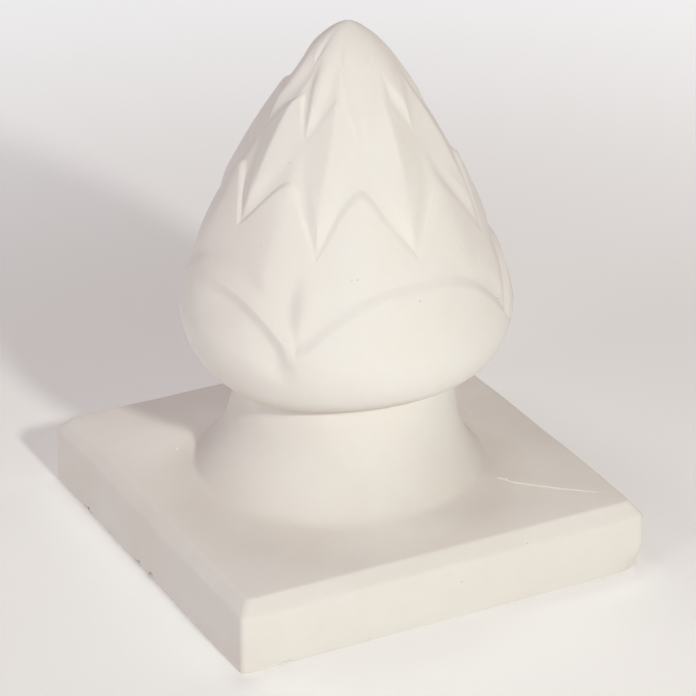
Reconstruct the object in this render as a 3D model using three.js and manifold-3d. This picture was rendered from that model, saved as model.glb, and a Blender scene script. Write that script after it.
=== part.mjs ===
// A pinecone finial of cast stone: a square slab, a round flared neck and a cone of overlapping scales,
// all in one casting. Millimetres, +Z up. The origin is the middle of the flat underside, and the slab's
// sides face X and Y.

import * as THREE from 'three';
import { mergeVertices } from 'three/addons/utils/BufferGeometryUtils.js';
import Module from 'manifold-3d';

// Slab: full width at its underside, sides that lean in a little, a chamfer, and a top that rises faintly
// to the middle.
const SLAB_WIDTH = 200;
const SLAB_SIDE_HEIGHT = 25.5;
const SLAB_SIDE_LEAN = 1;
const CHAMFER_WIDTH = 5;
const CHAMFER_HEIGHT = 6;
const TOP_RISE = 3;

// Neck: a cove from its foot ring on the slab up to the crease under the cone.
const NECK_HEIGHT = 45.5;
const NECK_TOP_RADIUS = 49;
const NECK_FOOT_RADIUS = 65;
const NECK_COVE_POWER = 2.6;
const NECK_SINK = 4;

// Cone: its height from the crease to the rounded tip, its widest radius and how far up that comes.
const CONE_HEIGHT = 161;
const BELLY_RADIUS = 72;
const BELLY_SHARE = 0.22;
const CREASE_INSET = 3;
const UNDERSIDE_POWER = 0.55;
const SHOULDER_POWER = 1.33;
const TIP_POWER = 0.72;

// Rings of scales from the lowest up. Heights and depths are shares of the cone's height, and a midrib is the
// azimuth in degrees of the middle of one scale.
const RINGS = [
  { scales: 4, midrib: -90, valley: 0.225, tip: 0.39, arch: 2.6, step: 0.014, facet: 0 },
  { scales: 8, midrib: -108, valley: 0.49, tip: 0.635, arch: 1.25, step: 0.013, facet: 0.5 },
  { scales: 8, midrib: -130.5, valley: 0.73, tip: 0.835, arch: 1.2, step: 0.011, facet: 1.05 },
  { scales: 8, midrib: -108, valley: 0.86, tip: 0.945, arch: 1.2, step: 0.006, facet: 0.8 },
];
const RECESS_REACH = 0.1;
const FACET_REACH = 0.16;

// The lowest scales have a rolled rim with a shallow hollow inside it, and a groove between neighbours.
const RIM_RISE = 0.006;
const RIM_INSET = 0.022;
const RIM_BREADTH = 0.018;
const HOLLOW_DEPTH = 0.006;
const HOLLOW_INSET = 0.075;
const HOLLOW_BREADTH = 0.04;
const GROOVE_DEPTH = 0.012;
const GROOVE_BREADTH = 0.3;

// Fineness of the faceted solid. The cone's rows of points lie in bands from one ring's edge to the next.
const SEGMENTS = 80;
const BAND_ROWS = [14, 10, 8, 5, 5];
const EDGE_GAP = 0.004;
const UNDERSIDE_CROWDING = 1.4;
const NECK_ROWS = 8;

const SLAB_HEIGHT = SLAB_SIDE_HEIGHT + CHAMFER_HEIGHT;
const CREASE_Z = SLAB_HEIGHT + NECK_HEIGHT;
const CREASE_RADIUS = NECK_TOP_RADIUS - CREASE_INSET;
const FULL_TURN = 360;
const SLAB_SIDES = 4;
const SLOPE_SPAN = 2;
const MERGE_DISTANCE = 1e-4;

const wasm = await Module();
wasm.setup();

const smooth = (t) => THREE.MathUtils.smoothstep(t, 0, 1);
const hump = (t) => Math.exp(-t * t);

// Height of the slab's top surface at a distance from the axis, measured towards a side.
function slabTopAt(distance) {
  const flatHalf = SLAB_WIDTH / 2 - SLAB_SIDE_LEAN - CHAMFER_WIDTH;
  return SLAB_HEIGHT + TOP_RISE * (1 - distance / flatHalf);
}

// Radius of the plain cone, before any carving, at a share of its height.
function plainRadius(share) {
  if (share < BELLY_SHARE) {
    const below = 1 - share / BELLY_SHARE;
    return CREASE_RADIUS + (BELLY_RADIUS - CREASE_RADIUS) * (1 - below ** 2) ** UNDERSIDE_POWER;
  }
  const above = (share - BELLY_SHARE) / (1 - BELLY_SHARE);
  return BELLY_RADIUS * Math.max(1 - above ** SHOULDER_POWER, 0) ** TIP_POWER;
}

// Place across a scale: 0 on its midrib and 1 or -1 on the groove that it shares with its neighbour.
function across(ring, azimuth) {
  const pitch = FULL_TURN / ring.scales;
  const offset = azimuth - ring.midrib;
  return (2 * (offset - pitch * Math.round(offset / pitch))) / pitch;
}

// Height at which a ring's scales end: an arch with its top on the midrib.
function edgeShare(ring, azimuth) {
  return ring.valley + (ring.tip - ring.valley) * (1 - Math.abs(across(ring, azimuth)) ** ring.arch);
}

// Distance down from a ring's edge, measured square to it, as a share of the cone's height. The edge's slope
// is taken over a few degrees.
function insideEdge(ring, azimuth, share) {
  const rise = edgeShare(ring, azimuth + SLOPE_SPAN) - edgeShare(ring, azimuth - SLOPE_SPAN);
  const run = (THREE.MathUtils.degToRad(2 * SLOPE_SPAN) * plainRadius(share)) / CONE_HEIGHT;
  return (edgeShare(ring, azimuth) - share) / Math.hypot(1, rise / run);
}

// Flat faces on both sides of a midrib, as a factor on the radius.
function facetFactor(ring, azimuth, share) {
  const half = Math.PI / ring.scales;
  const flat = Math.cos(half) / Math.cos(half * (1 - Math.abs(across(ring, azimuth))));
  const strength = ring.facet * smooth(1 - (ring.valley - share) / FACET_REACH);
  return 1 - strength * (1 - flat);
}

// Rolled rim, hollow and side groove of the lowest scales, as a share of the cone's height.
function rimRelief(ring, azimuth, share) {
  const inside = insideEdge(ring, azimuth, share);
  const rim = RIM_RISE * hump((inside - RIM_INSET) / RIM_BREADTH);
  const hollow = HOLLOW_DEPTH * hump((inside - HOLLOW_INSET) / HOLLOW_BREADTH);
  const groove = GROOVE_DEPTH * hump((1 - Math.abs(across(ring, azimuth))) / GROOVE_BREADTH);
  return (rim - hollow - groove) * smooth(share / ring.valley);
}

// Share of the height at a place in a band, so that the rows of points follow the edges of the scales.
function bandShare(band, along, azimuth) {
  if (band === 0) {
    return edgeShare(RINGS[0], azimuth) * along ** UNDERSIDE_CROWDING;
  }
  const low = edgeShare(RINGS[band - 1], azimuth) + EDGE_GAP;
  const high = band === RINGS.length ? 1 : edgeShare(RINGS[band], azimuth);
  return THREE.MathUtils.lerp(low, high, along);
}

// Radius of the carved cone in a band. A ring's scales stand proud of the ring above, which starts recessed
// behind them.
function carvedRadius(band, azimuth, share) {
  let radius = plainRadius(share);
  if (band < RINGS.length) {
    radius *= facetFactor(RINGS[band], azimuth, share);
  }
  if (band === 0) {
    radius += rimRelief(RINGS[0], azimuth, share) * CONE_HEIGHT;
  } else {
    const below = RINGS[band - 1];
    const climbed = (share - edgeShare(below, azimuth)) / RECESS_REACH;
    radius -= below.step * CONE_HEIGHT * (1 - smooth(climbed)) * smooth((1 - share) / RECESS_REACH);
  }
  return radius;
}

// Turns a lathe about +Z into a closed solid whose vertices are shared.
function closedSolid(geometry) {
  const bare = geometry.clone().rotateX(Math.PI / 2);
  bare.deleteAttribute('normal');
  bare.deleteAttribute('uv');
  const merged = mergeVertices(bare, MERGE_DISTANCE);
  const corners = merged.index.array;
  const triangles = [];
  for (let i = 0; i < corners.length; i += 3) {
    const [a, b, c] = corners.slice(i, i + 3);
    if (a !== b && b !== c && c !== a) {
      triangles.push(a, b, c);
    }
  }
  const vertProperties = new Float32Array(merged.attributes.position.array);
  const triVerts = new Uint32Array(triangles);
  return new wasm.Manifold(new wasm.Mesh({ numProp: 3, vertProperties, triVerts }));
}

// Slab: a lathe with one segment a side, so that the outline drawn through a corner gives four equal sides.
function slabSolid() {
  const corner = Math.SQRT2;
  const half = SLAB_WIDTH / 2;
  const sideTop = half - SLAB_SIDE_LEAN;
  const outline = [
    new THREE.Vector2(0, 0),
    new THREE.Vector2(half * corner, 0),
    new THREE.Vector2(sideTop * corner, SLAB_SIDE_HEIGHT),
    new THREE.Vector2((sideTop - CHAMFER_WIDTH) * corner, SLAB_HEIGHT),
    new THREE.Vector2(0, SLAB_HEIGHT + TOP_RISE),
  ];
  return closedSolid(new THREE.LatheGeometry(outline, SLAB_SIDES, Math.PI / SLAB_SIDES));
}

// Neck: its cove runs on a little way into the slab, and its top into the cone, so that the three join.
function neckSolid() {
  const footZ = slabTopAt(NECK_FOOT_RADIUS);
  const lowest = -NECK_SINK / (CREASE_Z - footZ);
  const outline = [new THREE.Vector2(0, footZ - NECK_SINK)];
  for (let row = 0; row <= NECK_ROWS; row += 1) {
    const climbed = THREE.MathUtils.lerp(lowest, 1, row / NECK_ROWS);
    const flare = (NECK_FOOT_RADIUS - NECK_TOP_RADIUS) * (1 - climbed) ** NECK_COVE_POWER;
    outline.push(new THREE.Vector2(NECK_TOP_RADIUS + flare, THREE.MathUtils.lerp(footZ, CREASE_Z, climbed)));
  }
  outline.push(new THREE.Vector2(CREASE_RADIUS, CREASE_Z + NECK_SINK));
  outline.push(new THREE.Vector2(0, CREASE_Z + NECK_SINK));
  return closedSolid(new THREE.LatheGeometry(outline, SEGMENTS));
}

// Cone: a plain lathe with a point for each row, whose points are then moved to the carved surface.
function coneSolid() {
  const rows = BAND_ROWS.flatMap((count, band) =>
    Array.from({ length: count + 1 }, (_, step) => ({ band, along: step / count })),
  );
  const outline = [new THREE.Vector2(0, 0), ...rows.map((_, row) => new THREE.Vector2(1, row))];
  const lathe = new THREE.LatheGeometry(outline, SEGMENTS);
  const points = lathe.attributes.position;
  for (let i = 0; i < points.count; i += 1) {
    const place = i % outline.length;
    if (place > 0) {
      const { band, along } = rows[place - 1];
      const turn = Math.atan2(points.getZ(i), points.getX(i));
      const azimuth = THREE.MathUtils.radToDeg(-turn);
      const share = bandShare(band, along, azimuth);
      const radius = carvedRadius(band, azimuth, share);
      points.setXYZ(i, radius * Math.cos(turn), share * CONE_HEIGHT, radius * Math.sin(turn));
    }
  }
  return closedSolid(lathe).translate([0, 0, CREASE_Z]);
}

// Gives a solid back as a geometry with flat facets.
function geometryOf(solid) {
  const { vertProperties, triVerts } = solid.getMesh();
  const geometry = new THREE.BufferGeometry();
  geometry.setAttribute('position', new THREE.BufferAttribute(vertProperties, 3));
  geometry.setIndex(new THREE.BufferAttribute(triVerts, 1));
  geometry.computeVertexNormals();
  return geometry;
}

const castStone = new THREE.MeshStandardMaterial({
  color: '#ece6dc',
  roughness: 0.85,
  metalness: 0,
  flatShading: true,
});

const finial = new THREE.Mesh(geometryOf(slabSolid().add(neckSolid()).add(coneSolid())), castStone);
finial.name = 'pinecone_finial';

const model = new THREE.Group();
model.add(finial);

export default model;
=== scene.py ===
"""A pinecone finial of cast stone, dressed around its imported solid.

The finial is one casting: a square slab, a round neck that flares into the slab, and a cone of carved
scales. Its surface is a ball of points whose rows and columns are moved, as a sculptor moves clay, to the
slab's sides, the neck's cove and the edges of the scales. The mould line, the air holes and the knocks on
the slab's lower edge are then added to it and cut from it. Lengths are in metres, azimuths are in degrees
unless a method says otherwise, the slab's sides face X and Y, and +Z is up.
"""

import logging
import math
from dataclasses import dataclass, field
from enum import Enum

import bpy
import numpy as np
from mathutils import Matrix, Vector, noise
from mathutils.bvhtree import BVHTree


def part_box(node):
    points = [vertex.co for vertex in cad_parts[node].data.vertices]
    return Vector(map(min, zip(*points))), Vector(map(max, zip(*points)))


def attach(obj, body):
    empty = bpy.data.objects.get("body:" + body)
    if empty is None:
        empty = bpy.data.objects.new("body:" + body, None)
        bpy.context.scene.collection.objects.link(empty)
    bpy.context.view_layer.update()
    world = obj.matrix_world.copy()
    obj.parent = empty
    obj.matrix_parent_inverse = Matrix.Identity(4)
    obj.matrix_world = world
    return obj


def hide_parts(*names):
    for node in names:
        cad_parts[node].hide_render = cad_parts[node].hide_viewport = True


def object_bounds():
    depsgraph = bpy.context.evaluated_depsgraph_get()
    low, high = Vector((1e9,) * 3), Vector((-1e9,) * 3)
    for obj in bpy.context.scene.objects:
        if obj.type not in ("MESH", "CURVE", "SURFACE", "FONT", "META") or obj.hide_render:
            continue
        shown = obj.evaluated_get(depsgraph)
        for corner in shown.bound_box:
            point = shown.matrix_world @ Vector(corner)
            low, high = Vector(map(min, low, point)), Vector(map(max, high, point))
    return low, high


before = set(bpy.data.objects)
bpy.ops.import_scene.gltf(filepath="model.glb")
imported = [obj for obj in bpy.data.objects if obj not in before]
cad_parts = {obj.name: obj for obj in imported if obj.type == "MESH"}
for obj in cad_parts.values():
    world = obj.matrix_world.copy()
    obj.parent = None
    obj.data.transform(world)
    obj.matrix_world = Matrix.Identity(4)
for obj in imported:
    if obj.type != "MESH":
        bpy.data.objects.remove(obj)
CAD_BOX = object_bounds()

LOG = logging.getLogger("finial")
MM = 0.001
NODE = "pinecone_finial"
BODY = "root"
COLUMNS = 320
QUARTER = math.pi / 2
PHOTO_SIZE = 696

# The cone's foot lies a little under the neck's upper end, so that no gap shows in the crease.
NECK_TOP = 78 * MM
CONE_FOOT = 77 * MM

# How fast each departure of a scale gives way to its neighbour's. At 1 it takes the whole way between ribs.
HASTE = {"rib": 1.0, "proud": 1.3, "rubbed": 1.5, "wear": 2.0, "curl": 8.0}


def smooth(value: np.ndarray) -> np.ndarray:
    """Eases from 0 to 1 as the value goes from 0 to 1, and stays there outside."""
    held = np.clip(value, 0, 1)
    return held * held * (3 - 2 * held)


def hump(value: np.ndarray) -> np.ndarray:
    """A soft bump: 1 at 0, and almost nothing past 2 either way."""
    return np.exp(-value * value)


def apart(azimuth: np.ndarray, centre: float) -> np.ndarray:
    """Degrees from a centre to each azimuth, between -180 and 180."""
    return (azimuth - centre + 180) % 360 - 180


@dataclass(frozen=True)
class Ease:
    """An ease from 0 to 1 that begins at a start and takes so much to end."""

    start: float
    over: float

    def at(self, value: np.ndarray) -> np.ndarray:
        """How far the ease has come at a value."""
        return smooth((value - self.start) / self.over)

    def around(self, azimuth: np.ndarray) -> np.ndarray:
        """How far the ease has come at an azimuth, going round from the start."""
        return smooth(apart(azimuth, self.start) / self.over)


def crowded(count: int) -> np.ndarray:
    """Places from 0 to 1 that lie closer together near both ends.

    Args:
        count: How many steps there are.

    Returns:
        One more place than steps, from 0 to 1.
    """
    return (1 - np.cos(np.pi * np.arange(count + 1) / count)) / 2


def rounded_corner(before: np.ndarray, corner: np.ndarray, after: np.ndarray, radius: float,
                   steps: int) -> np.ndarray:
    """Rounds one corner of an outline with an arc.

    Args:
        before: The outline's point before the corner.
        corner: The corner itself.
        after: The outline's point after the corner.
        radius: The arc's radius.
        steps: How many pieces the arc has.

    Returns:
        The arc's points in order, one a row.
    """
    back = (before - corner) / np.linalg.norm(before - corner)
    ahead = (after - corner) / np.linalg.norm(after - corner)
    half_angle = math.acos(float(back @ ahead)) / 2
    middle = (back + ahead) / np.linalg.norm(back + ahead)
    centre = corner + middle * radius / math.sin(half_angle)
    reach = radius / math.tan(half_angle)
    first = corner + back * reach - centre
    last = corner + ahead * reach - centre
    sweep = math.pi - 2 * half_angle
    turns = np.linspace(0, 1, steps + 1)[:, None]
    blend = (np.sin((1 - turns) * sweep) * first + np.sin(turns * sweep) * last) / math.sin(sweep)
    return centre + blend


def shaped_ball(name: str, rows: np.ndarray, bottom: tuple[float, ...],
                top: tuple[float, ...]) -> bpy.types.Object:
    """Models a closed piece by moving the points of a ball, level by level.

    Args:
        name: The piece's name.
        rows: Where the ball's levels go, from the lowest up, each with its points in order of azimuth.
        bottom: Where the ball's lowest point goes.
        top: Where the ball's highest point goes.

    Returns:
        The piece, closed and with its faces pointing out.
    """
    levels, columns = rows.shape[:2]
    deselect()
    bpy.ops.mesh.primitive_uv_sphere_add(segments=columns, ring_count=levels + 1, radius=1)
    ball = bpy.context.object
    ball.name = ball.data.name = name
    points = np.zeros(len(ball.data.vertices) * 3)
    ball.data.vertices.foreach_get("co", points)
    points = points.reshape(-1, 3)
    climb = np.arccos(np.clip(-points[:, 2], -1, 1)) * (levels + 1) / math.pi
    level = np.round(climb).astype(int)
    turn = np.arctan2(points[:, 1], points[:, 0]) / (2 * math.pi)
    column = np.round(turn * columns).astype(int) % columns
    moved = rows[np.clip(level - 1, 0, levels - 1), column]
    moved[level == 0] = bottom
    moved[level == levels + 1] = top
    ball.data.vertices.foreach_set("co", moved.ravel())
    ball.data.update()
    LOG.info("%s has %d rows of %d points", name, levels, columns)
    return ball


@dataclass
class Slab:
    """The square slab under the neck.

    Its sides lean in a little, a chamfer runs round the top, and the top rises faintly to the middle as a
    very flat pyramid whose hips run to the corners.
    """

    width: float
    side_height: float = 25.5 * MM
    side_lean: float = 1.0 * MM
    chamfer_width: float = 5.0 * MM
    chamfer_height: float = 6.0 * MM
    top_rise: float = 3.0 * MM
    hip_power: float = 16.0
    corner_radius: float = 2.6 * MM
    side_edge_radius: float = 4.2 * MM
    top_edge_radius: float = 1.8 * MM
    short_corner: tuple[float, float] = (1.0, -1.0)
    short_by: float = 2.8 * MM
    worn_by: float = 2.6 * MM
    worn_reach: float = 8.0 * MM
    underside_radius: float = 0.8 * MM
    corner_crowding: float = 0.72
    underside_rows: int = 4
    side_rows: int = 11
    chamfer_rows: int = 3
    arc_steps: int = 4
    top_rows: int = 18

    @property
    def height(self) -> float:
        """Height of the chamfer's upper edge."""
        return self.side_height + self.chamfer_height

    @property
    def top_half(self) -> float:
        """Half the width of the top, inside the chamfer."""
        return self.width / 2 - self.side_lean - self.chamfer_width

    def outline(self, half: np.ndarray, azimuths: np.ndarray) -> np.ndarray:
        """Places the columns on a square with rounded corners.

        Args:
            half: Half widths of the squares, one a row.
            azimuths: The columns' azimuths, evenly spaced, in radians.

        Returns:
            X and Y of each column in each row. The columns crowd towards the corners, where the bend is.
        """
        side = np.round(azimuths / QUARTER)
        along = 2 * (azimuths / QUARTER - side)
        eased = np.sin(along * QUARTER)
        along = along + self.corner_crowding * (eased - along)
        half = np.asarray(half)[:, None]
        straight = half - self.corner_radius
        past = np.clip((np.abs(along) * half - straight) / self.corner_radius, 0, 1)
        bend = past * math.pi / 4
        out = np.where(past > 0, straight + self.corner_radius * np.cos(bend), half)
        over = np.where(past > 0, straight + self.corner_radius * np.sin(bend), np.abs(along) * half)
        over = over * np.sign(along)
        turn = side * QUARTER
        across = out * np.cos(turn) - over * np.sin(turn)
        back = out * np.sin(turn) + over * np.cos(turn)
        return np.stack([across, back], -1)

    def top_at(self, place: np.ndarray) -> np.ndarray:
        """Height of the top surface at places given as X and Y."""
        reach = np.sum(np.abs(place / self.top_half) ** self.hip_power, -1) ** (1 / self.hip_power)
        return self.height + self.top_rise * (1 - reach)

    def profile(self) -> np.ndarray:
        """Half width and height of the rows from the middle of the underside to the top's edge.

        Returns:
            Half widths and heights, one row of the slab a line.
        """
        half = self.width / 2
        foot = np.array([half, 0.0])
        shoulder = np.array([half - self.side_lean, self.side_height])
        brow = np.array([self.top_half, self.height])
        middle = np.array([0.0, 0.0])
        peak = np.array([0.0, self.height + self.top_rise])
        low_arc = rounded_corner(middle, foot, shoulder, self.underside_radius, self.arc_steps)
        side_arc = rounded_corner(foot, shoulder, brow, self.side_edge_radius, self.arc_steps)
        brow_arc = rounded_corner(shoulder, brow, peak, self.top_edge_radius, self.arc_steps)
        underside = np.linspace(middle, low_arc[0], self.underside_rows + 2)[1:-1]
        side = np.linspace(low_arc[-1], side_arc[0], self.side_rows + 2)[1:-1]
        chamfer = np.linspace(side_arc[-1], brow_arc[0], self.chamfer_rows + 2)[1:-1]
        return np.concatenate([underside, low_arc, side, side_arc, chamfer, brow_arc])

    def rows(self, azimuths: np.ndarray, foot_ring: np.ndarray) -> np.ndarray:
        """Places the slab's rows, from the underside round the edges and in to the neck's foot.

        Args:
            azimuths: The columns' azimuths, in radians.
            foot_ring: X and Y of the ring where the neck's foot begins.

        Returns:
            Rows of points, a row being one point a column.
        """
        profile = self.profile()
        flat = self.outline(profile[:, 0], azimuths)
        heights = np.broadcast_to(profile[:, 1, None], flat.shape[:2])
        edges = np.concatenate([flat, heights[..., None]], -1)
        inward = np.linspace(0, 1, self.top_rows + 2)[1:-1, None, None]
        sheet = flat[-1] + (foot_ring - flat[-1]) * inward
        lift = self.top_at(sheet) - self.top_at(flat[-1]) + profile[-1, 1]
        top = np.concatenate([sheet, lift[..., None]], -1)
        return self.shortened(np.concatenate([edges, top]))

    def shortened(self, rows: np.ndarray) -> np.ndarray:
        """Draws one corner in along X, as on the real slab, and wears its lower end round.

        Args:
            rows: Rows of the slab's points.

        Returns:
            The same rows with that corner moved.
        """
        near = [1 + rows[..., axis] * 2 / self.width * self.short_corner[axis] for axis in range(2)]
        weight = np.clip(near[0] * near[1] / 4, 0, 1) ** 3
        corner = np.array([self.short_corner[0], self.short_corner[1], 0]) * self.width / 2
        worn = self.worn_by * hump(np.linalg.norm(rows - corner, axis=-1) / self.worn_reach)
        along_x = -self.short_corner[0] * (self.short_by * weight + worn)
        along_y = -self.short_corner[1] * worn
        return rows + np.stack([along_x, along_y, np.zeros_like(worn)], -1)


@dataclass
class Neck:
    """The round neck, a cove from the crease under the cone down to its foot on the slab."""

    crease_height: float = NECK_TOP
    top_radius: float = 49.0 * MM
    foot_radius: float = 65.0 * MM
    cove_power: float = 2.6
    fillet: float = 1.2 * MM
    soft_fillet: float = 6.0 * MM
    soft_azimuth: float = -122.0
    soft_span: float = 44.0
    foot_shift: tuple[float, float] = (-2.1 * MM, 1.2 * MM)
    lip_radius: float = 0.5 * MM
    fillet_rows: int = 8
    cove_rows: int = 24

    def fillet_at(self, azimuths: np.ndarray) -> np.ndarray:
        """Reach of the foot's fillet at azimuths in radians: crisp but for a soft stretch at the front."""
        offset = apart(np.degrees(azimuths), self.soft_azimuth)
        return self.fillet + (self.soft_fillet - self.fillet) * hump(offset / self.soft_span)

    def foot_ring(self, azimuths: np.ndarray) -> np.ndarray:
        """X and Y of the ring on the slab where the foot's fillet begins, at azimuths in radians."""
        radius = self.foot_radius + self.fillet_at(azimuths)
        return np.stack([radius * np.cos(azimuths), radius * np.sin(azimuths)], -1) + self.foot_shift

    def cove(self, climbed: np.ndarray, foot_height: np.ndarray) -> np.ndarray:
        """Radius and height on the cove at a share of the way up.

        Args:
            climbed: Shares of the way from the foot to the crease.
            foot_height: Height of the foot in each column.

        Returns:
            Radius and height of each point, in metres.
        """
        flare = (self.foot_radius - self.top_radius) * (1 - climbed) ** self.cove_power
        height = foot_height + (self.crease_height - foot_height) * climbed
        return np.stack([self.top_radius + flare, height], -1)

    def rows(self, azimuths: np.ndarray, slab: Slab, crease_lift: np.ndarray) -> np.ndarray:
        """Places the neck's rows, from the fillet's start on the slab up to the crease.

        Args:
            azimuths: The columns' azimuths, in radians.
            slab: The slab that the neck stands on.
            crease_lift: How much higher the crease lies in each column.

        Returns:
            Rows of points, a row being one point a column.
        """
        unit = np.stack([np.cos(azimuths), np.sin(azimuths)], -1)
        ring = self.foot_ring(azimuths)
        start = np.stack([self.foot_radius + self.fillet_at(azimuths), slab.top_at(ring)], -1)
        foot_height = slab.top_at(unit * self.foot_radius + self.foot_shift)
        corner = np.stack([np.full_like(foot_height, self.foot_radius), foot_height], -1)
        above = self.fillet_at(azimuths) * math.sqrt(0.5) / (self.crease_height - foot_height)
        finish = self.cove(above, foot_height)
        turn = np.linspace(0, 1, self.fillet_rows + 1)[:, None, None]
        foot = (1 - turn) ** 2 * start + 2 * turn * (1 - turn) * corner + turn ** 2 * finish
        lip = 1 - self.lip_radius / (self.crease_height - slab.height)
        climb = above + (lip - above) * np.linspace(0, 1, self.cove_rows + 1)[1:, None]
        wall = self.cove(climb, foot_height)
        rim = np.full((1, len(azimuths), 2), [self.top_radius - self.lip_radius, self.crease_height])
        section = np.concatenate([foot, wall, rim])
        low = 1 - smooth((section[..., 1:] - slab.height) / (self.crease_height - slab.height))
        heights = section[..., 1:] + (1 - low) * crease_lift[:, None]
        return np.concatenate([section[..., :1] * unit + low * self.foot_shift, heights], -1)


class EdgeForm(Enum):
    """How the upper edge of a scale is worked."""

    ROLLED = "a proud rim with a hollow inside it"
    PROUD = "a plain proud edge"


@dataclass(frozen=True)
class Leaf:
    """How one scale that shows in the photograph departs from the even ring.

    Turns are in degrees and lifts in metres. `rib` turns the whole scale, `tip` turns its point against the
    rib, and `valley` belongs to the notch between it and the scale on its right. `curl` is 1 where the rim
    is turned out around a hollow and 0 where the scale only stands proud, `proud` is what the scale's step
    has over the ring's, `wear` is how much softer the edge is than the ring's, and `rubbed` is the share of
    its flat faces that is gone.
    """

    number: int
    rib: float = 0.0
    tip: float = 0.0
    lift: float = 0.0
    valley: float = 0.0
    valley_lift: float = 0.0
    curl: float = 0.0
    proud: float = 0.0
    wear: float = 0.0
    rubbed: float = 0.0


@dataclass(frozen=True)
class Swelling:
    """A broad soft fullness of the cone, placed by azimuth in degrees and by share of the cone's height."""

    azimuth: float
    share: float
    rise: float
    wide: float
    tall: float


@dataclass(frozen=True)
class Fold:
    """A ridge that rises from a notch of the lowest ring.

    `left` and `right` are the degrees over which its flanks fall away, and the drops how far they fall.
    """

    azimuth: float
    left: float
    left_drop: float
    right: float
    right_drop: float


@dataclass(frozen=True)
class ScaleRing:
    """One ring of scales, even but for its leaves.

    Heights are shares of the cone's height, and the step at the edge is in metres, with the reach of its
    rounding inside the edge (`brow`) and past it (`foot`). `overlap` says how much of the step comes of
    itself where the next ring's faces lie behind this ring's.
    """

    scales: int
    midrib: float
    valley: float
    tip: float
    arch: float
    bluntness: float
    step: float
    notch_step: float
    brow: float
    foot: float
    overlap: float
    facet: float
    softness: float
    form: EdgeForm = EdgeForm.PROUD
    leaves: tuple[Leaf, ...] = ()

    @property
    def pitch(self) -> float:
        """Degrees from one midrib to the next."""
        return 360 / self.scales

    def across(self, azimuth: np.ndarray) -> np.ndarray:
        """Place across a scale: 0 on its midrib and 1 or -1 on the groove to its neighbour."""
        offset = azimuth - self.midrib
        return 2 * (offset - self.pitch * np.round(offset / self.pitch)) / self.pitch

    def departures(self, which: str) -> np.ndarray:
        """One field of the ring's leaves as an array, with 0 for each even scale.

        Args:
            which: The field's name.

        Returns:
            The field's value for each scale of the ring.
        """
        values = np.zeros(self.scales)
        for leaf in self.leaves:
            values[leaf.number % self.scales] = getattr(leaf, which)
        return values

    def eased(self, which: str, azimuth: np.ndarray) -> np.ndarray:
        """One field of the leaves at any azimuth, eased from one scale to the next.

        Args:
            which: The field's name, which also gives its haste.
            azimuth: Azimuths in degrees.

        Returns:
            The field's value at each azimuth.
        """
        values = self.departures(which)
        place = (azimuth - self.midrib) / self.pitch
        low = np.floor(place).astype(int)
        ease = smooth((place - low - 0.5) * HASTE[which] + 0.5)
        return values[low % self.scales] * (1 - ease) + values[(low + 1) % self.scales] * ease

    def edge(self, azimuth: np.ndarray, cone_height: float) -> np.ndarray:
        """Share of the cone's height at which this ring's scales end: arches with their tops on the tips.

        Args:
            azimuth: Even azimuths in degrees, before the ribs are turned.
            cone_height: The cone's height, in which the leaves' lifts are measured.

        Returns:
            The edge's share of the height at each azimuth.
        """
        number = np.arange(self.scales)
        tip_azimuth = self.midrib + self.pitch * number + self.departures("tip")
        tip_share = self.tip + self.departures("lift") / cone_height
        valley_azimuth = self.midrib + self.pitch * (number + 0.5) + self.departures("valley")
        valley_share = self.valley + self.departures("valley_lift") / cone_height
        knots = np.stack([tip_azimuth, valley_azimuth], -1).ravel()
        heights = np.stack([tip_share, valley_share], -1).ravel()
        turned = (azimuth - knots[0]) % 360 + knots[0]
        place = np.clip(np.searchsorted(knots, turned, side="right") - 1, 0, len(knots) - 1)
        following = (place + 1) % len(knots)
        width = (knots[following] - knots[place]) % 360
        part = (turned - knots[place]) / width
        from_tip = place % 2 == 0
        away = np.where(from_tip, part, 1 - part)
        top = np.where(from_tip, heights[place], heights[following])
        bottom = np.where(from_tip, heights[following], heights[place])
        blunt = self.bluntness
        away = (np.hypot(away, blunt) - blunt) / (math.hypot(1, blunt) - blunt)
        return top - (top - bottom) * away ** self.arch


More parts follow.
